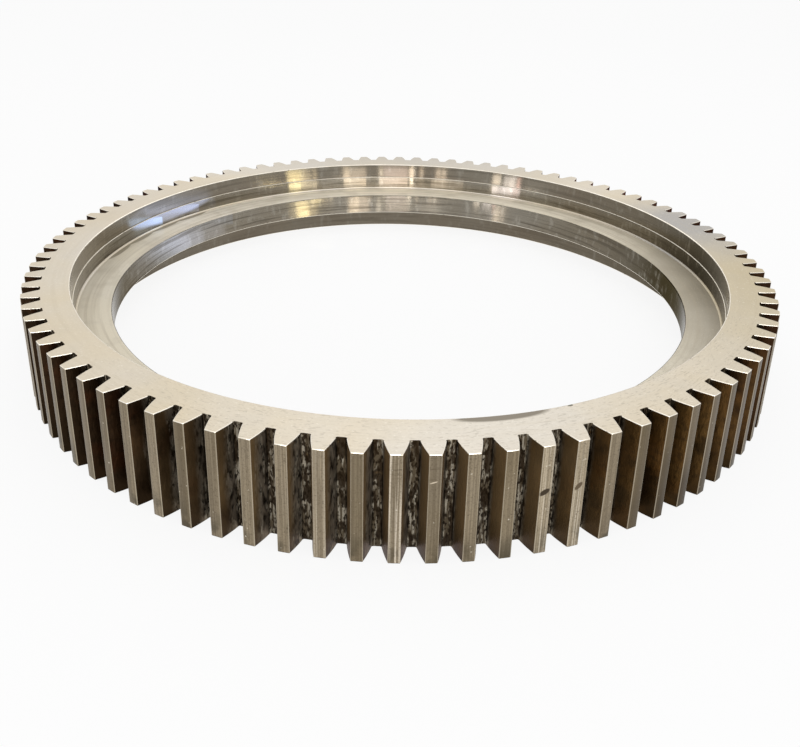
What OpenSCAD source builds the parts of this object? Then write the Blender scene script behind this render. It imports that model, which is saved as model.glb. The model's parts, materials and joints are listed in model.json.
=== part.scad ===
// Ring gear: one solid steel ring with external spur teeth, lying flat on its lower face.
// Inside, a flange stands between an upper and a lower recess, and its inner edge is the bore.
// The wall of the upper recess has two steps: the lower one is the band that locates the mating hub.
// The origin is the centre of the lower face, and +Z is the ring's axis. Millimetres.

/* [Teeth] */
// Number of teeth round the rim
tooth_count = 90; // [72:1:120]
// Module: the pitch circle's diameter divided by the number of teeth
tooth_module = 20; // [16:0.5:24]
// Pressure angle of the involute flanks, in degrees
pressure_angle = 17.5; // [14.5:0.5:20]
// Share of the pitch circle that the teeth take, the rest being the spaces
tooth_share = 0.53; // [0.48:0.01:0.54]
// Height of a tooth above the pitch circle, as a share of the module
addendum_share = 0.9; // [0.8:0.05:1]
// Depth of a tooth space below the pitch circle, as a share of the module
dedendum_share = 1.15; // [1.05:0.05:1.25]
// Radius of the fillet in each root corner of a tooth space
root_fillet_r = 3; // [2:0.5:5]

/* [Ring] */
// Width of the toothed face, which is the height of the ring as it lies
face_w = 220; // [200:5:260]
// Thickness of the rim, from the tooth roots in to the upper recess
rim_t = 65; // [45:1:90]
// Chamfer on every turned edge
edge_break = 2; // [1:0.5:3]

/* [Upper recess] */
// Depth of the upper recess, from the top face down to the flange
upper_depth = 85; // [65:1:100]
// Height of the locating band above the flange
register_h = 41; // [25:1:55]
// Step in radius from the recess wall in to the locating band
register_step = 3; // [1.5:0.5:6]

/* [Flange and bore] */
// Thickness of the flange
flange_t = 62; // [40:1:80]
// Width of the flange, from the locating band in to the bore
flange_w = 84; // [50:1:110]

/* [Lower recess] */
// Thickness of the rim, from the tooth roots in to the lower recess
lower_rim_t = 70; // [50:1:90]
// Radius in the corners where the flange meets the recess walls
corner_r = 4; // [2:0.5:8]

/* [Hidden] */
$fn = 240;
// Points along one flank and along one quarter of a rounded corner
flank_steps = 5;
corner_steps = 3;
// How far a cutting shape runs past the faces that it cuts
past = 2;
// Circles of the teeth
pitch_r = tooth_module * tooth_count / 2;
base_r = pitch_r * cos(pressure_angle);
tip_r = pitch_r + addendum_share * tooth_module;
root_r = pitch_r - dedendum_share * tooth_module;
// Angle from the middle of a tooth to the middle of the next space
half_pitch = 180 / tooth_count;
// Radii inside the ring
upper_r = root_r - rim_t;
register_r = upper_r - register_step;
bore_r = register_r - flange_w;
lower_r = root_r - lower_rim_t;
// Heights above the lower face
flange_top = face_w - upper_depth;
flange_bottom = flange_top - flange_t;
register_top = flange_top + register_h;

function polar(r, a) = r * [cos(a), sin(a)];

// The involute function of an angle, in degrees
function involute(a) = tan(a) * 180 / PI - a;

// Half of the angle that a tooth space spans at radius r
function space_half(r) =
    half_pitch * (1 - tooth_share) - involute(pressure_angle) + involute(acos(base_r / max(r, base_r)));

// Points of an arc about c from angle a0 to angle a1
function arc(c, r, a0, a1, steps) =
    [for (i = [0 : steps]) c + polar(r, a0 + (a1 - a0) * i / steps)];

// Centre of a root fillet. It touches the root circle and the flank, so it lies on an involute that is
// turned from the flank by the fillet's radius, measured round the base circle.
fillet_centre_r = root_r + root_fillet_r;
fillet_centre_a = space_half(fillet_centre_r) - root_fillet_r / base_r * 180 / PI;
fillet_centre = polar(fillet_centre_r, fillet_centre_a);

// Where the fillet meets the flank, found along the line from that centre that touches the base circle
tangent_length = sqrt(max(pow(fillet_centre_r, 2) - pow(base_r, 2), pow(root_fillet_r, 2)));
flank_start_r = norm([base_r, tangent_length - root_fillet_r]);
flank_start = polar(flank_start_r, space_half(flank_start_r));
flank_end_r = tip_r + past;

// One side of a tooth space, from the root out past the tip
function space_side() =
    let (to_flank = flank_start - fillet_centre)
    concat(
        arc(fillet_centre, root_fillet_r, fillet_centre_a + 180, atan2(to_flank.y, to_flank.x), corner_steps),
        [for (i = [1 : flank_steps])
            let (r = flank_start_r + (flank_end_r - flank_start_r) * i / flank_steps)
            polar(r, space_half(r))]
    );

// The other side is its mirror image, from the tip back to the root
function mirrored(points) = [for (i = [len(points) - 1 : -1 : 0]) [points[i].x, -points[i].y]];

module tooth_space() {
    translate([0, 0, -past])
        linear_extrude(face_w + 2 * past)
            polygon(concat(space_side(), mirrored(space_side())));
}

// The turned section, as points of radius and height, starting at the outside of the lower face
function section() =
    concat(
        [
            [tip_r - edge_break, 0],
            [tip_r, edge_break],
            [tip_r, face_w - edge_break],
            [tip_r - edge_break, face_w],
            [upper_r + edge_break, face_w],
            [upper_r, face_w - edge_break],
            [upper_r, register_top],
            [register_r, register_top],
        ],
        arc([register_r - corner_r, flange_top + corner_r], corner_r, 0, -90, corner_steps),
        [
            [bore_r + edge_break, flange_top],
            [bore_r, flange_top - edge_break],
            [bore_r, flange_bottom + edge_break],
            [bore_r + edge_break, flange_bottom],
        ],
        arc([lower_r - corner_r, flange_bottom - corner_r], corner_r, 90, 0, corner_steps),
        [
            [lower_r, edge_break],
            [lower_r + edge_break, 0],
        ]
    );

// The whole gear: the turned ring with its tooth spaces cut. A tooth is centred on +X.
module ring_gear() {
    color([0.63, 0.60, 0.56])
        difference() {
            rotate_extrude() polygon(section());
            for (i = [0 : tooth_count - 1])
                rotate([0, 0, (2 * i + 1) * half_pitch]) tooth_space();
        }
}

ring_gear();
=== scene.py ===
# %% [markdown]
# # A ring gear, made and finished in Blender
# The object is one heavy steel ring, 1.8 m across, with 90 straight teeth on its outside and a flange
# inside it. It was turned on a large lathe and its teeth were cut one after another. This lesson builds its
# mesh with bmesh operators, gives each kind of machined surface its own material, and lights it softly on a
# pale floor.

# %% Load the frame
import json
import math
import random

import bmesh
import bpy
from mathutils import Matrix, Vector


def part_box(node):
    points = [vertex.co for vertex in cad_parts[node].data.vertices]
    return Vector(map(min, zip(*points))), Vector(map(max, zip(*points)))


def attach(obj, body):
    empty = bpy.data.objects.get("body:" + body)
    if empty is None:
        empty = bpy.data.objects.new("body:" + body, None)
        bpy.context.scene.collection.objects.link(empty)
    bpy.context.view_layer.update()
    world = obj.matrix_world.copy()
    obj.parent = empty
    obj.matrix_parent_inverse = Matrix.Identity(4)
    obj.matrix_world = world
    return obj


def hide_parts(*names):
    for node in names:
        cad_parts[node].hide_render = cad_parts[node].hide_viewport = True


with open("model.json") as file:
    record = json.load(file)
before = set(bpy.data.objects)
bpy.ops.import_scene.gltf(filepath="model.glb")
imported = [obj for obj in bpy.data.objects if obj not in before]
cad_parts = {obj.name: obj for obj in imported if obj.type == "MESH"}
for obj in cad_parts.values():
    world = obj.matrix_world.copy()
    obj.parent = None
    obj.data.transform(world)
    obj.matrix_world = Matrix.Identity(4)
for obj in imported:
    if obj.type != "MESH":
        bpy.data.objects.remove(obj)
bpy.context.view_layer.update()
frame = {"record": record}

# %% [markdown]
# ## Sizes
# The gear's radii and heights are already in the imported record, because each turned wall is a mount there.
# Reading them keeps this mesh on the CAD model. Only the teeth need sizes of their own: a module of 20 mm,
# which is the pitch diameter divided by the number of teeth, the share of the module that stands above and
# below the pitch circle, and the share of the pitch circle that the teeth take.

# %% Read the sizes from the frame
MM = 0.001
mounts = {m["name"]: m for m in frame["record"]["mounts"]}


def radius(name):
    """The radius of a turned wall, in metres."""
    return mounts[name]["dims"]["r_mm"] * MM


def height(name):
    """The height of a turned face, in metres."""
    return mounts[name]["pos_m"][2]


gear_low, gear_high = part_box("ring_gear")
FACE_W = round(gear_high.z - gear_low.z, 4)
TIP_R = round(gear_high.x, 4)
UPPER_R = radius("upper_recess")
REGISTER_R = radius("register")
BORE_R = radius("bore")
LOWER_R = radius("lower_recess")
FLANGE_TOP = height("flange_seat")
FLANGE_BOTTOM = height("flange_back")
REGISTER_TOP = height("register") + mounts["register"]["dims"]["length_mm"] * MM / 2
print("tip radius", TIP_R, "face width", FACE_W)
print("bore radius", BORE_R, "ledge height", round(REGISTER_TOP, 4))

# %% Sizes of the teeth
MODULE = 20 * MM
TEETH = 90
PRESSURE_ANGLE = math.radians(17.5)
TOOTH_SHARE = 0.53
ADDENDUM = 0.9 * MODULE
DEDENDUM = 1.15 * MODULE
PITCH_R = TIP_R - ADDENDUM
BASE_R = PITCH_R * math.cos(PRESSURE_ANGLE)
ROOT_R = PITCH_R - DEDENDUM
PITCH = 2 * math.pi / TEETH
print("pitch radius", round(PITCH_R, 4), "root radius", round(ROOT_R, 4))
print("one pitch in degrees:", math.degrees(PITCH))

# %% [markdown]
# ## The camera
# The photograph was taken from in front of the ring, at about waist height. A camera has three things to
# match: where it stands, where it points, and its focal length. The picture was also cropped off centre,
# which is a lens shift and not a turn, so the shift is set on the camera and the perspective stays true.

# %% Place the camera
bpy.context.scene.view_settings.view_transform = "Standard"
CAMERA_AT = Vector((-0.0834, -2.0754, 1.0262))
CAMERA_AIM = Vector((-0.0255, 0.5530, 0.0))
CAMERA_ROLL = math.radians(0.97)

camera_data = bpy.data.cameras.new("camera")
camera_data.lens = 38.337
camera_data.sensor_width = 36
camera_data.shift_x = 0.0200
camera_data.shift_y = -0.1544
camera = bpy.data.objects.new("camera", camera_data)
camera.location = CAMERA_AT
turn = (CAMERA_AIM - CAMERA_AT).to_track_quat("-Z", "Y").to_matrix()
camera.rotation_euler = (turn @ Matrix.Rotation(CAMERA_ROLL, 3, "Z")).to_euler()
bpy.context.scene.collection.objects.link(camera)
bpy.context.scene.camera = camera
print("camera is", round((CAMERA_AIM - CAMERA_AT).length, 2), "m from what it looks at")

# %% [markdown]
# ## Half a tooth
# A gear tooth's side is an involute, the curve that the end of a string draws as it unwinds from a circle.
# The lathe's blank is round, so a tooth begins as a piece of that circle and the cutter takes away the
# spaces. Here half a tooth is eight points: the middle of the root, six up the flank from the root corner
# to the tip's edge, and the middle of the tip. One formula gives the half-width of the space at any radius.
# The mirror operator makes the other half, so both flanks are equal.

# %% Draw half a tooth and mirror it
FLANK_STEPS = 5


def involute(angle):
    """The involute function."""
    return math.tan(angle) - angle


def space_half(r):
    """Half of the angle that a tooth space spans at radius r."""
    at_pitch = PITCH / 2 * (1 - TOOTH_SHARE)
    return at_pitch - involute(PRESSURE_ANGLE) + involute(math.acos(BASE_R / r))


def at(r, angle, z=0.0):
    """A point by its radius, its angle about the axis and its height."""
    return Vector((r * math.cos(angle), r * math.sin(angle), z))


flank_radii = [ROOT_R + (TIP_R - ROOT_R) * i / FLANK_STEPS for i in range(FLANK_STEPS + 1)]
half_tooth = [at(ROOT_R, PITCH / 2)]
half_tooth += [at(r, PITCH / 2 - space_half(r)) for r in flank_radii]
half_tooth += [at(TIP_R, 0)]

bm = bmesh.new()
points = [bm.verts.new(p) for p in half_tooth]
for a, b in zip(points, points[1:]):
    bm.edges.new((a, b))
bmesh.ops.mirror(bm, geom=bm.verts[:] + bm.edges[:], axis="Y", merge_dist=0.01 * MM)
bmesh.ops.remove_doubles(bm, verts=bm.verts[:], dist=0.01 * MM)
print("tooth outline:", len(bm.verts), "points")

# %% [markdown]
# ## The toothed wall
# The real teeth are straight and run the whole width of the ring, so the outline is raised in one
# extrusion.

# %% Extrude the outline
raised = bmesh.ops.extrude_edge_only(bm, edges=bm.edges[:])
raised_verts = [v for v in raised["geom"] if isinstance(v, bmesh.types.BMVert)]
bmesh.ops.translate(bm, verts=raised_verts, vec=(0, 0, FACE_W))
print("toothed wall of one pitch:", len(bm.faces), "faces")

# %% [markdown]
# ## The turned inside
# A lathe makes the inside by moving a tool along a profile while the ring turns. The spin operator does the
# same: the profile's eight corners are swept through one pitch. Only one pitch is made here, because ninety
# copies of it will be joined, and that keeps the tooth and the turned walls in one closed mesh.

# %% Spin the section through one pitch
SPIN_STEPS = 4
section = [
    (UPPER_R, FACE_W),
    (UPPER_R, REGISTER_TOP),
    (REGISTER_R, REGISTER_TOP),
    (REGISTER_R, FLANGE_TOP),
    (BORE_R, FLANGE_TOP),
    (BORE_R, FLANGE_BOTTOM),
    (LOWER_R, FLANGE_BOTTOM),
    (LOWER_R, 0.0),
]
corners = [bm.verts.new(at(r, -PITCH / 2, z)) for r, z in section]
profile = [bm.edges.new(pair) for pair in zip(corners, corners[1:])]
bmesh.ops.spin(
    bm,
    geom=corners + profile,
    cent=(0, 0, 0),
    axis=(0, 0, 1),
    dvec=(0, 0, 0),
    angle=PITCH,
    steps=SPIN_STEPS,
    use_duplicate=False,
)
print("with the turned walls:", len(bm.faces), "faces")

# %% [markdown]
# ## The end faces
# Each end face is flat from the teeth to the recess. Both edges of it are there already, so two short
# radial edges close the loop, and one many-sided face fills it. A flat face needs no grid inside it, and a
# later bevel follows its outline.


# %% Fill the end faces
def level(vert, z):
    """Whether a vertex lies at height z."""
    return abs(vert.co.z - z) < 0.01 * MM


def near_angle(vert, angle):
    """Whether a vertex lies on the radial line at that angle."""
    return abs(math.atan2(vert.co.y, vert.co.x) - angle) < 1e-5


for z in (0.0, FACE_W):
    for side in (-PITCH / 2, PITCH / 2):
        ends = [v for v in bm.verts if level(v, z) and near_angle(v, side)]
        bmesh.ops.contextual_create(bm, geom=ends)
    loop = [e for e in bm.edges if all(level(v, z) for v in e.verts)]
    bmesh.ops.edgeloop_fill(bm, edges=loop)
print("one pitch:", len(bm.verts), "points,", len(bm.faces), "faces")

# %% [markdown]
# ## Ninety pitches make the ring
# The spin operator can copy as well as sweep. It turns the finished pitch 89 times about the axis. Then the
# points that meet are merged, which closes the ring, and the normals are worked out again, because a copy
# can turn them inside out.

# %% Copy the pitch round the axis and close the ring
bmesh.ops.spin(
    bm,
    geom=bm.verts[:] + bm.edges[:] + bm.faces[:],
    cent=(0, 0, 0),
    axis=(0, 0, 1),
    dvec=(0, 0, 0),
    angle=PITCH * (TEETH - 1),
    steps=TEETH - 1,
    use_duplicate=True,
)
bmesh.ops.remove_doubles(bm, verts=bm.verts[:], dist=0.05 * MM)
bmesh.ops.recalc_face_normals(bm, faces=bm.faces[:])
open_edges = sum(1 for e in bm.edges if len(e.link_faces) != 2)
print("ring:", len(bm.faces), "faces,", open_edges, "open edges")
print("volume:", round(bm.calc_volume() * 1e6), "cm3")

# %% [markdown]
# ## Fillets and broken edges
# The cutter leaves a fillet in each root corner, and it is part of the tooth's strength. The turned edges
# are chamfered, and the teeth's edges are filed so that they don't cut hands. These narrow faces catch the
# light as thin bright lines, which is how the eye reads a heavy machined edge. The bevel operator makes all
# of them. Its offset is the length that is taken off each side.


# %% Bevel helpers
def flat_radius(point):
    """Distance from the axis."""
    return math.hypot(point.x, point.y)


def circle_edges(r, z):
    """The edges that run round the axis at radius r and height z."""
    return [
        e
        for e in bm.edges
        if all(abs(v.co.z - z) < 0.02 * MM and abs(flat_radius(v.co) - r) < 0.02 * MM for v in e.verts)
    ]


def upright_edges(r):
    """The edges that run parallel to the axis at radius r, where the surface turns a corner."""
    return [
        e
        for e in bm.edges
        if abs(e.verts[0].co.z - e.verts[1].co.z) > FACE_W / 2
        and abs(flat_radius(e.verts[0].co) - r) < 0.02 * MM
        and e.calc_face_angle(0.0) > math.radians(20)
    ]


def break_edges(edges, offset, segments):
    """Bevels edges and returns the new faces."""
    made = bmesh.ops.bevel(
        bm,
        geom=edges,
        offset=offset,
        offset_type="OFFSET",
        affect="EDGES",
        segments=segments,
        profile=0.5,
        material=-1,
        clamp_overlap=True,
    )
    return made["faces"]


# %% Fillets in the roots and corners
# A root corner turns by 78 degrees, so 2.4 mm off each side of it leaves a fillet of 3 mm radius.
ROOT_OFFSET = 2.4 * MM
TURNED_CORNER = 4.0 * MM
break_edges(upright_edges(ROOT_R), ROOT_OFFSET, 5)
seat_corner = break_edges(circle_edges(REGISTER_R, FLANGE_TOP), TURNED_CORNER, 3)
break_edges(circle_edges(LOWER_R, FLANGE_BOTTOM), TURNED_CORNER, 3)
print("with fillets:", len(bm.faces), "faces")

# %% Broken edges
TIP_EDGE = 1.1 * MM
TOOTH_EDGE = 1.2 * MM
TURNED_EDGE = 2.0 * MM
LEDGE_EDGE = 1.2 * MM
break_edges(upright_edges(TIP_R), TIP_EDGE, 2)
filed = []
shaded_bottom_edges = []
for z, broken in ((0.0, shaded_bottom_edges), (FACE_W, filed)):
    outline = [
        e
        for e in bm.edges
        if all(level(v, z) for v in e.verts)
        and all(flat_radius(v.co) > ROOT_R - 0.1 * MM for v in e.verts)
        and e.calc_face_angle(0.0) > math.radians(60)
    ]
    broken += break_edges(outline, TOOTH_EDGE, 2)
filed += break_edges(circle_edges(UPPER_R, FACE_W), TURNED_EDGE, 2)
filed += break_edges(circle_edges(REGISTER_R, REGISTER_TOP), LEDGE_EDGE, 2)
filed += break_edges(circle_edges(BORE_R, FLANGE_BOTTOM), TURNED_EDGE, 2)
filed += break_edges(circle_edges(LOWER_R, 0.0), TURNED_EDGE, 2)
bored = list(break_edges(circle_edges(BORE_R, FLANGE_TOP), TURNED_EDGE, 2))
bmesh.ops.recalc_face_normals(bm, faces=bm.faces[:])
open_edges = sum(1 for e in bm.edges if len(e.link_faces) != 2)
print("finished mesh:", len(bm.faces), "faces,", open_edges, "open edges")

# %% [markdown]
# ## Seven kinds of surface
# One steel, but seven finishes: the faced ends, the flange's seat, the bored walls, the bored fits (the
# locating band and the bore), the teeth's turned tips, the cut flanks and roots, and the filed edges. A
# material slot is a number on each face. A face's height, radius and normal say which machine step made it,
# so the numbers come from those and not from a list of faces.

# %% Give each face its finish
FINISHES = ("end", "seat", "wall", "fit", "tip", "flank", "edge")
END, SEAT, WALL, FIT, TIP, FLANK, EDGE = range(len(FINISHES))
bm.faces.index_update()
bm.normal_update()


def numbers(faces):
    """The numbers of those faces that are still in the mesh."""
    return {f.index for f in faces if f.is_valid}


filed = numbers(filed)
shaded_bottom_edges = numbers(shaded_bottom_edges)
bored = numbers(bored)
rounded = numbers(seat_corner)
count = [0] * len(FINISHES)
for face in bm.faces:
    middle = face.calc_center_median()
    r = flat_radius(middle)
    outward = (face.normal.x * middle.x + face.normal.y * middle.y) / r
    flat = abs(face.normal.z) > 0.99
    at_end = middle.z < 1 * MM or middle.z > FACE_W - 1 * MM
    on_teeth = r > (UPPER_R + ROOT_R) / 2
    in_root = ROOT_R - 3 * MM < r < ROOT_R + 2 * MM
    if face.index in filed and not in_root:
        kind = EDGE
    # The broken tooth edges at the foot take the dark flank steel as painted shade; filed edges in the roots
    # take it too.
    elif face.index in shaded_bottom_edges or face.index in filed:
        kind = FLANK
    elif face.index in rounded or (flat and at_end):
        # The rounded corner beside the seat is as bright as the ends.
        kind = END
    elif flat:
        kind = SEAT
    elif not on_teeth:
        fitted = r < BORE_R + 2 * MM or (r < REGISTER_R + 1 * MM and middle.z > FLANGE_TOP)
        kind = FIT if fitted else WALL
    elif r > TIP_R - 1 * MM and outward > 0.5:
        kind = TIP
    else:
        kind = FLANK
    face.material_index = kind
    face.smooth = True
    count[kind] += 1
print("faces of each finish:", dict(zip(FINISHES, count)))

# %% [markdown]
# ## Sharp and smooth
# Smooth shading blends the normals of neighbouring faces. That is right round a wall or along a flank, and
# wrong from a flat face into its broken edge. So every face is smooth, and an edge is marked sharp where
# the finish changes, where a broken edge begins, or where the surface turns by more than 31 degrees.

# %% Mark the sharp edges
SHARP_TURN = math.radians(31)
sharp = 0
broken = shaded_bottom_edges | bored
for edge in bm.edges:
    one, other = edge.link_faces
    finish_changes = one.material_index != other.material_index
    edge_begins = (one.index in broken) != (other.index in broken)
    if finish_changes or edge_begins or edge.calc_face_angle(0.0) > SHARP_TURN:
        edge.smooth = False
        sharp += 1
print("sharp edges:", sharp)

# %% [markdown]
# ## No two teeth look the same
# Each tooth passed the cutter by itself, and oil and hands reached some more than others. A number from 0
# to 1 on each face of a tooth lets one material darken or brighten it. A tooth's tip and the space beside
# it get numbers of their own. A second number tells a tooth's two flanks apart, and on the tip it marks the
# two narrow upright edges. The random generator is seeded, so the same gear comes out each time.

# %% Store a tone and a side for every tooth face
chance = random.Random(36107)
tip_tone = [chance.random() for _ in range(TEETH)]
space_tone = [chance.random() for _ in range(TEETH)]
tone_layer = bm.faces.layers.float.new("tooth_tone")
# The side number lets one flank be painted as lit and the other as in shade, and marks the tip edges for a
# painted highlight.
side_layer = bm.faces.layers.float.new("flank_side")
for face in bm.faces:
    middle = face.calc_center_median()
    turns = math.atan2(middle.y, middle.x) / PITCH
    if face.material_index == FLANK:
        face[tone_layer] = space_tone[math.floor(turns) % TEETH]
        face[side_layer] = 1.0 if turns - round(turns) > 0 else 0.0
    else:
        face[tone_layer] = tip_tone[round(turns) % TEETH]
        face[side_layer] = 1.0 if face.normal.dot(at(1, turns * PITCH)) < 0.95 else 0.0
print("tones run from", round(min(tip_tone), 2), "to", round(max(tip_tone), 2))

# %% Make the mesh an object that stands for the CAD node
gear_mesh = bpy.data.meshes.new("ring_gear_turned")
bm.to_mesh(gear_mesh)
bm.free()
gear = bpy.data.objects.new("ring_gear_turned", gear_mesh)
bpy.context.scene.collection.objects.link(gear)
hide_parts("ring_gear")
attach(gear, "root")
triangles = sum(len(p.vertices) - 2 for p in gear_mesh.polygons)
print("gear:", triangles, "triangles")

# %% [markdown]
# ## Tools for the materials
# A node tree is easier to read when each node is one line. `add` makes a node, sets its options and fills
# its inputs, with a link where the value is another node's socket. `linear` turns a hex colour, as a paint
# program shows it, into the linear numbers that a shader works with. Most marks on a machined part are
# layers over bare steel, so `layers` lays colours over each other, each with a mask that says where it
# shows. A mask can limit another one, because the most that it reaches may be a socket too.


# %% Node and colour helpers
def linear(hex_code):
    """A linear colour from an sRGB hex code."""
    parts = [int(hex_code[i : i + 2], 16) / 255 for i in (1, 3, 5)]
    return [p / 12.92 if p <= 0.04045 else ((p + 0.055) / 1.055) ** 2.4 for p in parts] + [1.0]


def add(tree, kind, inputs=(), **settings):
    """Adds a node with its settings, and sets or links its inputs."""
    node = tree.nodes.new(kind)
    for name, value in settings.items():
        setattr(node, name, value)
    for socket, value in dict(inputs).items():
        if isinstance(value, bpy.types.NodeSocket):
            tree.links.new(value, node.inputs[socket])
        else:
            node.inputs[socket].default_value = value
    return node


def new_steel(name):
    """A material with an empty tree, the tree, and a point's place on the gear."""
    material = bpy.data.materials.new(name)
    material.use_nodes = True
    material.node_tree.nodes.clear()
    return material, material.node_tree, add(material.node_tree, "ShaderNodeTexCoord").outputs["Object"]


def layers(tree, color, *coats):
    """Lays coats of (mask, hex colour) over a colour."""
    for mask, hex_code in coats:
        mix = add(tree, "ShaderNodeMix", {0: mask, 6: color, 7: linear(hex_code)}, data_type="RGBA")
        color = mix.outputs[2]
    return color


print("white is", [round(x, 3) for x in linear("#FFFFFF")])


# %% Mask helpers
# Most tool marks are finer than a pixel. They are drawn about 3 mm apart, so that they show.
DRAWN_LINES = 330.0


def patches(tree, place, scale, low, high, most=1.0, detail=3.0, stretch=(1, 1, 1)):
    """A mask of noise patches, from none at low to most at high. Stretch crowds them along an axis."""
    spot = add(tree, "ShaderNodeMapping", {"Vector": place, "Scale": stretch}).outputs[0]
    noise = add(tree, "ShaderNodeTexNoise", {"Vector": spot, "Scale": scale, "Detail": detail}).outputs[0]
    limits = {"Value": noise, "From Min": low, "From Max": high, "To Max": most}
    return add(tree, "ShaderNodeMapRange", limits).outputs[0]


def stain(tree, place, centre, inner, outer, most=1.0, ragged=0.0):
    """A mask round one place on the gear: most within inner, none past outer, in metres."""
    away = add(tree, "ShaderNodeVectorMath", {0: place, 1: centre}, operation="DISTANCE").outputs["Value"]
    bend = patches(tree, place, 9.0, 0.3, 0.7, ragged)
    away = add(tree, "ShaderNodeMath", {0: away, 1: bend}, operation="ADD").outputs[0]
    limits = {"Value": away, "From Min": inner, "From Max": outer, "To Min": most, "To Max": 0.0}
    return add(tree, "ShaderNodeMapRange", limits).outputs[0]


def mark(tree, place, centre, turn, slant, size, most=1.0):
    """A mask of one mark, turned about the axis and slanted, with its size out, along and up."""
    turned = {"Vector": place, "Location": centre, "Rotation": (slant, 0.0, turn), "Scale": size}
    spot = add(tree, "ShaderNodeMapping", turned, vector_type="TEXTURE").outputs[0]
    away = add(tree, "ShaderNodeVectorMath", {0: spot}, operation="LENGTH").outputs["Value"]
    limits = {"Value": away, "From Min": 0.4, "From Max": 0.5, "To Min": most, "To Max": 0.0}
    return add(tree, "ShaderNodeMapRange", limits).outputs[0]


def finish_steel(tree, color, grain, relief, roughness, metallic=1.0, **sockets):
    """Ends a tree in a Principled steel. The grain is its bump, with that relief in metres."""
    bump = add(tree, "ShaderNodeBump", {"Height": grain, "Strength": 0.4, "Distance": relief}).outputs[0]
    inputs = {"Base Color": color, "Metallic": metallic, "Roughness": roughness, "Normal": bump}
    inputs.update({name.replace("_", " ").title(): value for name, value in sockets.items()})
    shader = add(tree, "ShaderNodeBsdfPrincipled", inputs)
    add(tree, "ShaderNodeOutputMaterial", {"Surface": shader.outputs[0]})


print("masks: patches, stains and marks")

# %% [markdown]
# ## Faced ends and seat
# The ends and the flange's seat are faced steel: the tool crosses the ring from the outside in while it
# turns, and leaves fine round lines. The steel is matt, pale and a little warm, and has short scratches that
# follow the turning. Broad patches of painted reflection and painted shade lie over it: the ends are yellower
# at the right, greyer at the back and the back right, and a little darker at the left; the seat is lighter at
# the back and darker at the right. Noise that is stretched round the axis draws lines and scratches at any
# radius. To stretch it, the pattern is read at a point made of the direction from the axis and the radius, so
# that it has no seam. The seat is duller than the ends: dried oil covers its grain, so part of its light is
# scattered and not mirrored, and it is less metallic.


# %% Coordinates that follow the turning
def from_axis(tree, place):
    """Distance from the gear's axis, and the direction away from it."""
    flat = add(tree, "ShaderNodeVectorMath", {0: place, 1: (1, 1, 0)}, operation="MULTIPLY").outputs[0]
    r = add(tree, "ShaderNodeVectorMath", {0: flat}, operation="LENGTH").outputs["Value"]
    way = add(tree, "ShaderNodeVectorMath", {0: flat}, operation="NORMALIZE").outputs[0]
    return r, way


def along_turning(tree, place, per_radian, per_metre):
    """A vector that changes slowly round the axis and quickly with the radius."""
    r, way = from_axis(tree, place)
    way = add(tree, "ShaderNodeVectorMath", {0: way, "Scale": per_radian}, operation="SCALE").outputs[0]
    across = add(tree, "ShaderNodeMath", {0: r, 1: per_metre}, operation="MULTIPLY").outputs[0]
    lift = add(tree, "ShaderNodeCombineXYZ", {"Z": across}).outputs[0]
    return add(tree, "ShaderNodeVectorMath", {0: way, 1: lift}, operation="ADD").outputs[0]


# %% Faced steel
def faced_steel(name, bare, cool, painted_patches, marks, scratched, lined, metallic):
    """Turned flat steel with round tool lines, short scratches, specks, patches of painted reflection and
    shade, and marks.
    """
    material, tree, place = new_steel(name)
    # The tool lines are about 0.4 mm apart on the real face.
    lines_at = along_turning(tree, place, 5.0, DRAWN_LINES)
    lines = add(tree, "ShaderNodeTexNoise", {"Vector": lines_at, "Scale": 1.0, "Detail": 2.0}).outputs[0]
    front = stain(tree, place, (0.2, -0.95, 0.2), 0.55, 1.0, scratched)
    scratch_at = along_turning(tree, place, 70.0, DRAWN_LINES)
    long_scratch_at = along_turning(tree, place, 45.0, 420.0)
    coats = [(patches(tree, place, 3.5, 0.35, 0.65), cool)]
    # Broad patches of painted reflection and painted shade.
    coats += [(stain(tree, place, *where, ragged=0.08), hex_code) for *where, hex_code in painted_patches]
    coats += [
        (patches(tree, lines_at, 0.35, 0.45, 0.7, lined), "#BDB19A"),
        (patches(tree, place, 14.0, 0.5, 0.65, 0.6 * lined), "#B8AD97"),
        (patches(tree, scratch_at, 1.0, 0.61, 0.68, front, 1.0), "#948B7B"),
        (patches(tree, long_scratch_at, 1.0, 0.66, 0.72, front, 1.0), "#857B6C"),
        (patches(tree, place, 260.0, 0.5, 0.75, 0.1), "#A89D8C"),
        (patches(tree, place, 230.0, 0.6, 0.75, 0.35), "#F4EFE4"),
    ]
    coats += [(mark(tree, place, *where), hex_code) for *where, hex_code in marks]
    finish_steel(tree, layers(tree, linear(bare), *coats), lines, 0.0004, 0.5, metallic)
    return material


# Painted reflections on the ends: yellower at the right, greyer at the back and the back right, a little
# darker at the left.
END_PAINTED_REFLECTIONS = [
    ((1.15, -0.25, 0.1), 0.25, 0.75, 0.9, "#BFB08C"),
    ((0.1, 1.5, 0.1), 0.62, 1.1, 0.8, "#B9B4AC"),
    ((0.83, 0.22, 0.2), 0.1, 0.34, 0.85, "#ABA9A7"),
    ((-0.95, 0.35, 0.2), 0.2, 0.5, 0.3, "#CDBFA8"),
]
# A grey lens-shaped patch and a dark speck lie on the inner edge at the front.
END_MARKS = [
    ((0.155, -0.7945, 0.22), math.radians(-79.0), 0.0, (0.045, 0.19, 1.0), "#8B8376"),
    ((0.283, -0.765, 0.22), math.radians(-69.7), 0.0, (0.006, 0.012, 1.0), "#7C776A"),
]
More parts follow.
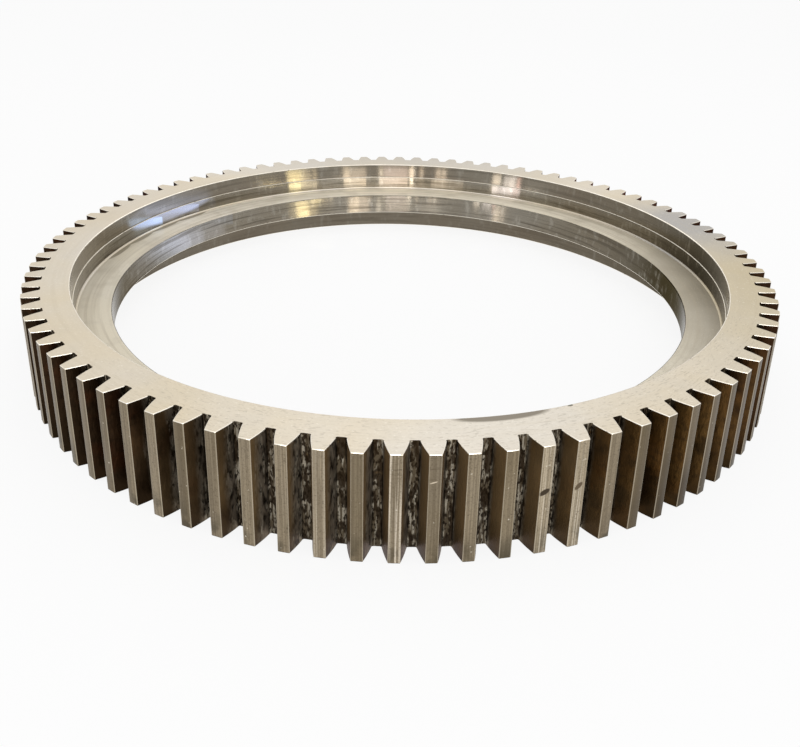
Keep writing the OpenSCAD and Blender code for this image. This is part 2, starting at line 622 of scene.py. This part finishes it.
# Painted reflection and shade on the seat: lighter at the back and back left, darker at the right and in a
# spot at the back left.
SEAT_PAINTED_LIGHT_AND_SHADE = [
    ((0.0, 0.55, 0.13), 0.65, 0.95, 0.7, "#FFF6E2"),
    ((0.95, -0.1, 0.13), 0.1, 0.56, 1.0, "#9A8F7A"),
    ((-0.86, 0.45, 0.13), 0.12, 0.2, 0.4, "#A3937E"),
    ((-0.5, 0.62, 0.13), 0.15, 0.35, 0.5, "#F4EEE0"),
]
# A darker arc lies on the seat beside the wall at the back left. It is made of four short overlapping marks.
SEAT_MARKS = [
    (at(0.803, math.radians(a), FLANGE_TOP), math.radians(a), 0.0, (0.03, 0.14, 1.0), "#A69B86")
    for a in (143, 151, 159, 167)
]
end_steel = faced_steel("faced_end_steel", "#D6CAB3", "#D7D0C4", END_PAINTED_REFLECTIONS, END_MARKS, 0.28, 0.15, 1.0)
seat_steel = faced_steel("faced_seat_steel", "#E3D9C2", "#E0D8C6", SEAT_PAINTED_LIGHT_AND_SHADE, SEAT_MARKS, 0.2, 0.5, 0.35)
print("faced finishes:", end_steel.name, seat_steel.name)

# %% [markdown]
# ## Bored walls
# The walls of the recesses and the bore were bored with a fine feed, and are smoother and darker than the
# ends. Their grooves run round the ring, so a reflection is sharp along the wall and smeared up and down:
# each strip lamp becomes an upright band. The anisotropic setting does part of this, with a tangent that
# runs round the axis, and the bump of the grooves does the rest. The locating band and the bore are fits.
# The boring bar shivered a little there, which softens their bands and breaks them up. At the back left a
# pale cool reflection of a window is painted on the locating band and the bore, and cool lamps add to it.
# Both ends of the bore are dull: a specular tint, which colours a metal's glance, takes some of the light off
# them. Under the flange the lower recess's wall is painted darker, as shade.


# %% Bored wall steel
# Where a pale cool window reflection is painted on the locating band, for a mark: centre, turn, slant and
# size.
PAINTED_WINDOW_REFLECTION = (at(REGISTER_R, math.radians(149.0), 0.185), math.radians(149.0), 0.0, (0.1, 0.42, 0.085))


def bored_steel(name, bare, cool, roughness, grooved, shiver, rubbed):
    """Bored steel with round grooves that smear reflections into upright bands."""
    material, tree, place = new_steel(name)
    groove_at = {"Vector": place, "Scale": (3.0, 3.0, DRAWN_LINES)}
    groove_at = add(tree, "ShaderNodeMapping", groove_at).outputs[0]
    groove = add(tree, "ShaderNodeTexNoise", {"Vector": groove_at, "Scale": 1.0, "Detail": 2.0}).outputs[0]
    shake = add(tree, "ShaderNodeTexNoise", {"Vector": place, "Scale": 90.0, "Detail": 2.0}).outputs[0]
    relief = {0: shake, 1: shiver, 2: groove}
    relief = add(tree, "ShaderNodeMath", relief, operation="MULTIPLY_ADD").outputs[0]
    z = add(tree, "ShaderNodeSeparateXYZ", {0: place}).outputs["Z"]
    # Painted shade: the wall under the flange is darker.
    shade_under_flange = {"Value": z, "From Min": FLANGE_BOTTOM - 2 * MM, "From Max": FLANGE_BOTTOM}
    shade_under_flange.update({"To Min": 0.2, "To Max": 0.0})
    shade_under_flange = add(tree, "ShaderNodeMapRange", shade_under_flange).outputs[0]
    # The bore's reflection is dimmed at its right and left ends.
    dull_right = stain(tree, place, (0.6, 0.02, 0.0), 0.2, 0.34, 0.95)
    dull_left = stain(tree, place, (-0.55, 0.1, -0.05), 0.25, 0.36, 0.95)
    color = layers(
        tree,
        linear(bare),
        (patches(tree, place, 2.5, 0.35, 0.65), cool),
        (stain(tree, place, (0.95, -0.1, 0.1), 0.3, 0.95, 0.9, ragged=0.1), "#5A5242"),
        (stain(tree, place, (-1.1, -0.3, 0.1), 0.35, 0.75, 0.6, ragged=0.1), "#6E6455"),
        (stain(tree, place, (0.78, -0.02, 0.1), 0.1, 0.35, 0.8, ragged=0.05), "#3F3B30"),
        (patches(tree, groove_at, 1.0, 0.5, 0.75, grooved), "#4E473C"),
        (patches(tree, place, 1.0, 0.62, 0.75, 0.5, stretch=(40, 40, 260)), "#4A4338"),
        (patches(tree, place, 1.0, 0.55, 0.75, grooved, stretch=(60, 60, 25)), "#A9A499"),
        (patches(tree, place, 1.0, 0.55, 0.62, grooved, stretch=(4, 4, 120)), "#4A4338"),
        # A pale cool window reflection painted on the bands; rubbed sets how much of it shows.
        (mark(tree, place, *PAINTED_WINDOW_REFLECTION, rubbed), "#B4B6C0"),
        (shade_under_flange, "#4F483C"),
    )
    tangent = add(tree, "ShaderNodeTangent", direction_type="RADIAL", axis="Z").outputs[0]
    smear = {"anisotropic": 1.0, "anisotropic_rotation": 0.25, "tangent": tangent}
    glance = layers(tree, linear("#FFFFFF"), (dull_right, "#B4B0A7"), (dull_left, "#B2AEA6"))
    finish_steel(tree, color, relief, 0.0004, roughness, specular_tint=glance, **smear)
    return material


wall_steel = bored_steel("bored_wall_steel", "#776D5F", "#807A6E", 0.11, 0.3, 0.05, 0.15)
fit_steel = bored_steel("fine_bored_fit_steel", "#857C6D", "#908C83", 0.2, 0.5, 0.5, 1.0)
print("bored finishes:", wall_steel.name, fit_steel.name)

# %% [markdown]
# ## Teeth tips
# The tips are what is left of the turned outside. They were rubbed in the direction of the tooth, so they
# carry fine upright lines, and their tone changes from tooth to tooth. The tone attribute mixes a darker and
# a lighter steel, and the lighter tips show more rubbed lines. Their upright edges carry a painted highlight,
# and their feet are painted darker in patches, as shade near the floor. A few marks have places of their own:
# two short slanting cuts, a scratch, and a tooth with pale upright lines.


# %% Tooth tip steel
# Marks on front tooth tips: centre, turn about the axis, slant, and size out, along and up, then the colour.
TIP_MARKS = [
    ((0.220, -0.891, 0.128), math.radians(-76.2), 0.5, (1.0, 0.023, 0.0115), "#463C30"),
    ((0.282, -0.874, 0.128), math.radians(-72.1), 0.8, (1.0, 0.02, 0.0105), "#665846"),
    ((0.030, -0.917, 0.166), math.radians(-88.0), 0.3, (1.0, 0.015, 0.0028), "#C8BAA4"),
]


def rubbed_tip_steel():
    """Steel with fine upright lines, small pits and a tone of its own for each tooth."""
    material, tree, place = new_steel("rubbed_tip_steel")
    tone = add(tree, "ShaderNodeAttribute", attribute_name="tooth_tone").outputs["Fac"]
    rubbed = {"Value": tone, "From Min": 0.6, "From Max": 0.95, "To Max": 0.6}
    rubbed = add(tree, "ShaderNodeMapRange", rubbed).outputs[0]
    # The pits are drawn 3 to 4 mm apart, near the least that the picture can show.
    line_at = {"Vector": place, "Scale": (DRAWN_LINES, DRAWN_LINES, 4.0)}
    line_at = add(tree, "ShaderNodeMapping", line_at).outputs[0]
    line = add(tree, "ShaderNodeTexNoise", {"Vector": line_at, "Scale": 1.0, "Detail": 2.0}).outputs[0]
    tooth_90 = stain(tree, place, (0.0, -0.92, 0.2), 0.03, 0.05, 0.6)
    # The tip's two upright edges get a painted highlight.
    edge = add(tree, "ShaderNodeAttribute", attribute_name="flank_side").outputs["Fac"]
    edge = add(tree, "ShaderNodeMath", {0: edge, 1: 0.45}, operation="MULTIPLY").outputs[0]
    z = add(tree, "ShaderNodeSeparateXYZ", {0: place}).outputs["Z"]
    # Painted shade near the floor: darker patches towards the feet.
    foot_shade = {"Value": z, "From Min": 0.0, "From Max": 0.07, "To Min": 0.8, "To Max": 0.0}
    foot_shade = add(tree, "ShaderNodeMapRange", foot_shade).outputs[0]
    tooth_89 = mark(tree, place, (-0.032, -0.917, 0.11), math.radians(-92.0), 0.0, (1.0, 0.05, 1.0))
    marks = [(mark(tree, place, *where), hex_code) for *where, hex_code in TIP_MARKS]
    color = layers(
        tree,
        linear("#73664F"),
        (tone, "#A99B84"),
        (patches(tree, place, 5.0, 0.4, 0.65, 0.5), "#857B6C"),
        (stain(tree, place, (0.22, -0.92, 0.13), 0.1, 0.2, 0.35, ragged=0.05), "#B5A68C"),
        (stain(tree, place, (1.05, -0.45, -0.05), 0.5, 0.95, 0.95, ragged=0.1), "#574A39"),
        (stain(tree, place, (-1.1, -0.3, 0.1), 0.35, 0.7, 0.5, ragged=0.1), "#675C4C"),
        (stain(tree, place, (0.53, -0.79, 0.0), 0.08, 0.2, 0.85, ragged=0.05), "#3F3425"),
        (patches(tree, line_at, 1.0, 0.45, 0.55, 0.4), "#5F5342"),
        (patches(tree, place, 25.0, 0.48, 0.62, foot_shade), "#4A4436"),
        (patches(tree, place, 1.0, 0.5, 0.6, rubbed, stretch=(260, 260, 2.5)), "#D8CDBA"),
        (patches(tree, place, 1.0, 0.48, 0.62, tooth_89, stretch=(260, 260, 3.0)), "#CFC3B0"),
        (patches(tree, place, 1.0, 0.52, 0.6, tooth_90, stretch=(30, 30, 420)), "#54483A"),
        (patches(tree, place, 330.0, 0.5, 0.72, 0.45), "#564B3C"),
        (patches(tree, place, 240.0, 0.63, 0.74, 0.6), "#4A4034"),
        (patches(tree, place, 130.0, 0.7, 0.76, 0.8), "#E4DBCA"),
        *marks,
        (edge, "#C9BDA8"),
    )
    finish_steel(tree, color, line, 0.0004, 0.42)
    return material


tip_steel = rubbed_tip_steel()
print("tip finish:", tip_steel.name)

# %% [markdown]
# ## Flanks and roots
# The cutter tore the roots, and cutting oil has dried on the flanks to brown and black. The roots are mottled
# and pitted, with pale upright ridges whose highlights are painted. One flank of each tooth is painted as in
# shade, nearly black, and the other as lit, browner with rust-coloured clouds. Painted shade also darkens the
# flanks at the ring's right end and towards their feet. At the front the flanks were wiped, and a thin film
# of oil has dried on them again: they are paler there. Dried oil is not a metal, so the flanks are less
# metallic than the rest, and least where that film lies. It is brown, so the flanks' specular tint is brown
# too, and the white room doesn't look blue in them.


# %% Flank steel
def oiled_flank_steel():
    """Cut steel under dried oil, torn and pitted in the roots."""
    material, tree, place = new_steel("oiled_flank_steel")
    tone = add(tree, "ShaderNodeAttribute", attribute_name="tooth_tone").outputs["Fac"]
    side = add(tree, "ShaderNodeAttribute", attribute_name="flank_side").outputs["Fac"]
    r, _ = from_axis(tree, place)
    wiped = stain(tree, place, (-0.05, -0.95, 0.1), 0.3, 0.6, 0.9, ragged=0.15)
    spread = add(tree, "ShaderNodeMath", {0: wiped, 1: side}, operation="MULTIPLY").outputs[0]
    inner = {0: spread, 1: 18 * MM, 2: ROOT_R + 5 * MM}
    inner = add(tree, "ShaderNodeMath", inner, operation="MULTIPLY_ADD").outputs[0]
    outer = {0: spread, 1: 26 * MM, 2: ROOT_R + 14 * MM}
    outer = add(tree, "ShaderNodeMath", outer, operation="MULTIPLY_ADD").outputs[0]
    deep = {"Value": r, "From Min": inner, "From Max": outer, "To Min": 1.0, "To Max": 0.0}
    deep = add(tree, "ShaderNodeMapRange", deep).outputs[0]
    z = add(tree, "ShaderNodeSeparateXYZ", {0: place}).outputs["Z"]
    # Painted shade near the floor: the flanks are darker towards their feet.
    foot_shade = {"Value": z, "From Min": 0.0, "From Max": 0.08, "To Min": 0.85, "To Max": 0.0}
    foot_shade = add(tree, "ShaderNodeMapRange", foot_shade).outputs[0]
    # Painted shade darkens the flanks at the ring's right end.
    right_end_shade = stain(tree, place, (1.0, -0.1, 0.1), 0.5, 0.85, 0.85, ragged=0.1)
    # One flank is painted as lit, browner, and the other as in shade, nearly black.
    lit_flank = layers(
        tree,
        linear("#5E4423"),
        (tone, "#5F4727"),
        (patches(tree, place, 8.0, 0.48, 0.66, 0.6), "#62401E"),
        (patches(tree, place, 13.0, 0.5, 0.62, 0.8), "#2C2114"),
        (patches(tree, place, 90.0, 0.5, 0.7, 0.5), "#33271A"),
    )
    shaded_flank = layers(
        tree,
        linear("#241A10"),
        (tone, "#32251A"),
        (patches(tree, place, 10.0, 0.5, 0.65, 0.7), "#3F2414"),
        (patches(tree, place, 90.0, 0.5, 0.7, 0.5), "#150F0A"),
    )
    flank = add(tree, "ShaderNodeMix", {0: side, 6: lit_flank, 7: shaded_flank}, data_type="RGBA").outputs[2]
    flank = layers(tree, flank, (right_end_shade, "#2A1A12"), (wiped, "#6E5A3E"), (foot_shade, "#1E170E"))
    # Pits and tears of 2 to 5 mm, longer along the tooth than across it. The pale upright ridges, with
    # painted highlights, are at the front left.
    ridge_glints = stain(tree, place, (-0.25, -0.9, 0.1), 0.45, 0.7, 0.8)
    # The painted highlights reach a little way up the flanks.
    up_flank = {"Value": r, "From Min": ROOT_R + 2 * MM, "From Max": ROOT_R + 8 * MM, "To Max": ridge_glints}
    up_flank = add(tree, "ShaderNodeMapRange", up_flank).outputs[0]
    up_flank = patches(tree, place, 1.0, 0.4, 0.58, up_flank, stretch=(120, 120, 45))
    torn = layers(
        tree,
        linear("#4D4538"),
        (patches(tree, place, 1.0, 0.48, 0.6, ridge_glints, stretch=(220, 220, 22)), "#A39C8D"),
        (patches(tree, place, 1.0, 0.48, 0.55, 0.95, stretch=(80, 80, 30)), "#211B14"),
        (patches(tree, place, 1.0, 0.5, 0.58, 0.95, stretch=(240, 240, 110)), "#0C0906"),
        (up_flank, "#756B5D"),
    )
    ragged = patches(tree, place, 60.0, 0.15, 0.3, deep)
    color = add(tree, "ShaderNodeMix", {0: ragged, 6: flank, 7: torn}, data_type="RGBA").outputs[2]
    tear_at = add(tree, "ShaderNodeMapping", {"Vector": place, "Scale": (160.0, 160.0, 60.0)}).outputs[0]
    tears = add(tree, "ShaderNodeTexNoise", {"Vector": tear_at, "Scale": 1.0, "Detail": 4.0}).outputs[0]
    metallic = {"Value": wiped, "To Min": 0.85, "To Max": 0.35}
    metallic = add(tree, "ShaderNodeMapRange", metallic).outputs[0]
    finish_steel(tree, color, tears, 0.002, 0.38, metallic, specular_tint=linear("#A9814F"))
    return material


flank_steel = oiled_flank_steel()
print("flank finish:", flank_steel.name)

# %% [markdown]
# ## Filed edges
# The filed edges are the freshest steel on the gear: bright, with small dark nicks where chains and levers
# have struck.


# %% Filed edge steel
def filed_edge_steel():
    """Bright steel, nicked along its length."""
    material, tree, place = new_steel("filed_edge_steel")
    wear = add(tree, "ShaderNodeTexNoise", {"Vector": place, "Scale": 40.0, "Detail": 3.0}).outputs[0]
    color = layers(
        tree,
        linear("#F4EDE0"),
        (patches(tree, place, 40.0, 0.4, 0.7, 0.6), "#DDD2BE"),
        (patches(tree, place, 70.0, 0.66, 0.72, 0.8), "#7A6F5E"),
    )
    finish_steel(tree, color, wear, 0.0003, 0.3)
    return material


edge_steel = filed_edge_steel()
for finish in (end_steel, seat_steel, wall_steel, fit_steel, tip_steel, flank_steel, edge_steel):
    gear_mesh.materials.append(finish)
print("slots:", [m.name for m in gear_mesh.materials])

# %% [markdown]
# ## Floor
# The floor is plain and nearly white. To the camera and to reflections it glows a little, so that it reads
# as the white of the photograph while the gear's shadow stays on it.

# %% Make the floor
FLOOR_R = 16.0
floor_bm = bmesh.new()
bmesh.ops.create_circle(floor_bm, cap_ends=True, segments=64, radius=FLOOR_R)
floor_mesh = bpy.data.meshes.new("floor")
floor_bm.to_mesh(floor_mesh)
floor_bm.free()
floor = bpy.data.objects.new("floor", floor_mesh)
floor.location.z = -0.0005
bpy.context.scene.collection.objects.link(floor)
print("floor radius", FLOOR_R, "m")


# %% Floor paint
def seen_rays(tree):
    """1 for what is seen, straight or in a reflection or through glass, and 0 for light that only falls."""
    rays = add(tree, "ShaderNodeLightPath").outputs
    seen = {0: rays["Is Camera Ray"], 1: rays["Is Glossy Ray"]}
    seen = add(tree, "ShaderNodeMath", seen, operation="MAXIMUM").outputs[0]
    seen = {0: seen, 1: rays["Is Transmission Ray"]}
    return add(tree, "ShaderNodeMath", seen, operation="MAXIMUM").outputs[0]


FLOOR_GLOW = 0.88
floor_paint = bpy.data.materials.new("pale_floor_paint")
floor_paint.use_nodes = True
tree = floor_paint.node_tree
tree.nodes.clear()
seen = seen_rays(tree)
glow = add(tree, "ShaderNodeMath", {0: seen, 1: FLOOR_GLOW}, operation="MULTIPLY").outputs[0]
matt = add(tree, "ShaderNodeBsdfDiffuse", {"Color": linear("#F2F2F2")}).outputs[0]
white = add(tree, "ShaderNodeEmission", {"Color": linear("#FFFFFF"), "Strength": 1.0}).outputs[0]
mixed = add(tree, "ShaderNodeMixShader", {0: glow, 1: matt, 2: white}).outputs[0]
add(tree, "ShaderNodeOutputMaterial", {"Surface": mixed})
floor_mesh.materials.append(floor_paint)
print("the floor glows to the camera and to reflections:", FLOOR_GLOW)

# %% [markdown]
# ## Light
# The world is an even white room. Three large soft boxes, overhead, behind and in front, give the ring its
# gentle fall-off from front to back.

# %% World
world = bpy.data.worlds.new("white_room")
bpy.context.scene.world = world
world.use_nodes = True
tree = world.node_tree
tree.nodes.clear()
seen = seen_rays(tree)
strength = add(tree, "ShaderNodeMapRange", {"Value": seen, "To Min": 0.75, "To Max": 1.0}).outputs[0]
back = add(tree, "ShaderNodeBackground", {"Color": linear("#FFFFFF"), "Strength": strength}).outputs[0]
add(tree, "ShaderNodeOutputWorld", {"Surface": back})
print("world strength 1 to the camera, 0.75 as light")


# %% Lamps
def soft_box(name, place, aim, size, radiance, color="#FFFFFF", spread=180):
    """An area lamp of that size in metres, which shines with that radiance towards aim."""
    data = bpy.data.lights.new(name, "AREA")
    data.shape = "RECTANGLE"
    data.size, data.size_y = size
    data.energy = radiance * math.pi * size[0] * size[1]
    data.color = linear(color)[:3]
    data.spread = math.radians(spread)
    lamp = bpy.data.objects.new(name, data)
    lamp.location = place
    lamp.rotation_euler = (Vector(aim) - Vector(place)).to_track_quat("-Z", "Y").to_euler()
    lamp.visible_camera = False
    bpy.context.scene.collection.objects.link(lamp)


soft_box("overhead_box", (0.4, -0.5, 3.6), (0.0, 0.0, 0.0), (4.0, 4.0), 0.46)
soft_box("back_box", (0.2, 4.6, 3.9), (0.0, -0.5, 0.2), (3.0, 1.6), 0.9)
soft_box("front_box", (0.5, -9.0, 1.5), (0.0, 0.0, 0.3), (10.0, 2.4), 5.5)
print("soft boxes:", len(bpy.data.lights))

# %% [markdown]
# The upright bands on the bored walls are reflections too. A photographer would stand small strip lamps
# inside the ring, low and close to the wall, so that they show in the wall and light little else. Where
# each one stands follows from the law of reflection: the line of sight from the camera is mirrored in the
# wall at both sides of the band, and the lamp spans the gap between the two mirrored lines. There are three
# rows, for the recess wall, the locating band and the bore. The lamps of the locating band stand only 30 mm
# off it, so that they show in it alone. A beam narrowed to 120 degrees keeps each lamp out of the other
# walls. Each band has the two angles on the ring between which it is seen, in degrees, its radiance and its
# tint.


# %% Strip lamps inside the ring
def lamp_side(wall_r, off, angle):
    """Where the line of sight passes, at that distance from the wall that has mirrored it."""
    spot = at(wall_r, math.radians(angle))
    sight = spot - CAMERA_AT
    sight.z = 0.0
    return spot + sight.reflect(spot.normalized()).normalized() * off


recess_bands = [
    (115.6, 112.7, 2.4, "#FFF3C4"),
    (112.4, 111.2, 1.4, "#FFF3D0"),
    (110.8, 110.2, 1.4, "#FFF3D8"),
    (109.5, 108.6, 1.0, "#FFF3D8"),
    (101.7, 100.3, 1.6, "#FFF3E4"),
    (100.0, 96.2, 0.9, "#FFF4EA"),
    (92.9, 92.1, 1.8, "#FFFBF4"),
    (91.8, 85.8, 1.4, "#F6EEF4"),
    (85.3, 84.4, 3.8, "#FFFBF6"),
    (82.8, 82.1, 1.4, "#FFF2E4"),
    (78.8, 77.6, 1.4, "#FFF6EE"),
    (77.2, 76.4, 1.7, "#FFF6EE"),
    (64.5, 62.8, 1.7, "#FFF6EE"),
    (61.7, 60.7, 1.5, "#F8F6FF"),
    (60.4, 59.0, 2.0, "#F8F6FF"),
    (58.4, 57.8, 1.9, "#FFDCDC"),
    (158.5, 139.6, 0.25, "#A8C6FA"),
]
band_bands = [
    (157.4, 150.4, 0.75, "#A6C6F0"),
    (150.2, 137.6, 0.5, "#B0BEE2"),
    (115.6, 112.7, 1.2, "#FFF3C4"),
    (112.4, 108.6, 0.5, "#FFF3D8"),
    (101.7, 96.2, 1.0, "#FFF0DC"),
    (92.9, 85.8, 1.1, "#FFF4F0"),
    (85.3, 84.4, 1.8, "#FFFBF6"),
    (80.0, 72.0, 0.4, "#FFF2E4"),
    (64.5, 57.8, 1.0, "#F8F2FF"),
]
bore_bands = [
    (118.1, 115.8, 0.5, "#FFF3D0"),
    (115.8, 112.9, 3.2, "#FFF3C4"),
    (112.7, 110.7, 0.7, "#FFF3D0"),
    (101.6, 98.7, 1.6, "#FFF0DC"),
    (98.5, 96.1, 0.9, "#FFEFDE"),
    (93.9, 92.8, 1.2, "#FFFBF4"),
    (91.4, 85.1, 0.5, "#FFF2E8"),
    (82.1, 76.6, 0.2, "#FFF6EE"),
    (61.6, 60.2, 1.6, "#FFF6EE"),
    (59.6, 58.8, 0.9, "#FFF6EE"),
    (158.2, 152.9, 0.6, "#BCCBF4"),
    (152.9, 147.4, 0.5, "#BCCBF4"),
    (147.4, 139.8, 0.3, "#C4CFF0"),
]
BEAM = 120
# Each row of lamps: the wall it shows in, how far off it stands, its lower and its upper end, and its bands.
rows = [
    (UPPER_R, 0.2, 0.1, 0.155, recess_bands),
    (REGISTER_R, 0.03, 0.14, 0.165, band_bands),
    (BORE_R, 0.15, 0.015, 0.085, bore_bands),
]
for wall_r, off, bottom, top, bands in rows:
    for left, right, radiance, tint in bands:
        sides = [lamp_side(wall_r, off, left), lamp_side(wall_r, off, right)]
        level_z = (bottom + top) / 2
        middle = (sides[0] + sides[1]) / 2 + Vector((0.0, 0.0, level_z))
        facing = at(wall_r, math.radians((left + right) / 2), level_z)
        size = ((sides[0] - sides[1]).length, top - bottom)
        soft_box(f"lamp_{left}", middle, facing, size, radiance, tint, spread=BEAM)
print("band lamps:", sum(len(row[-1]) for row in rows))
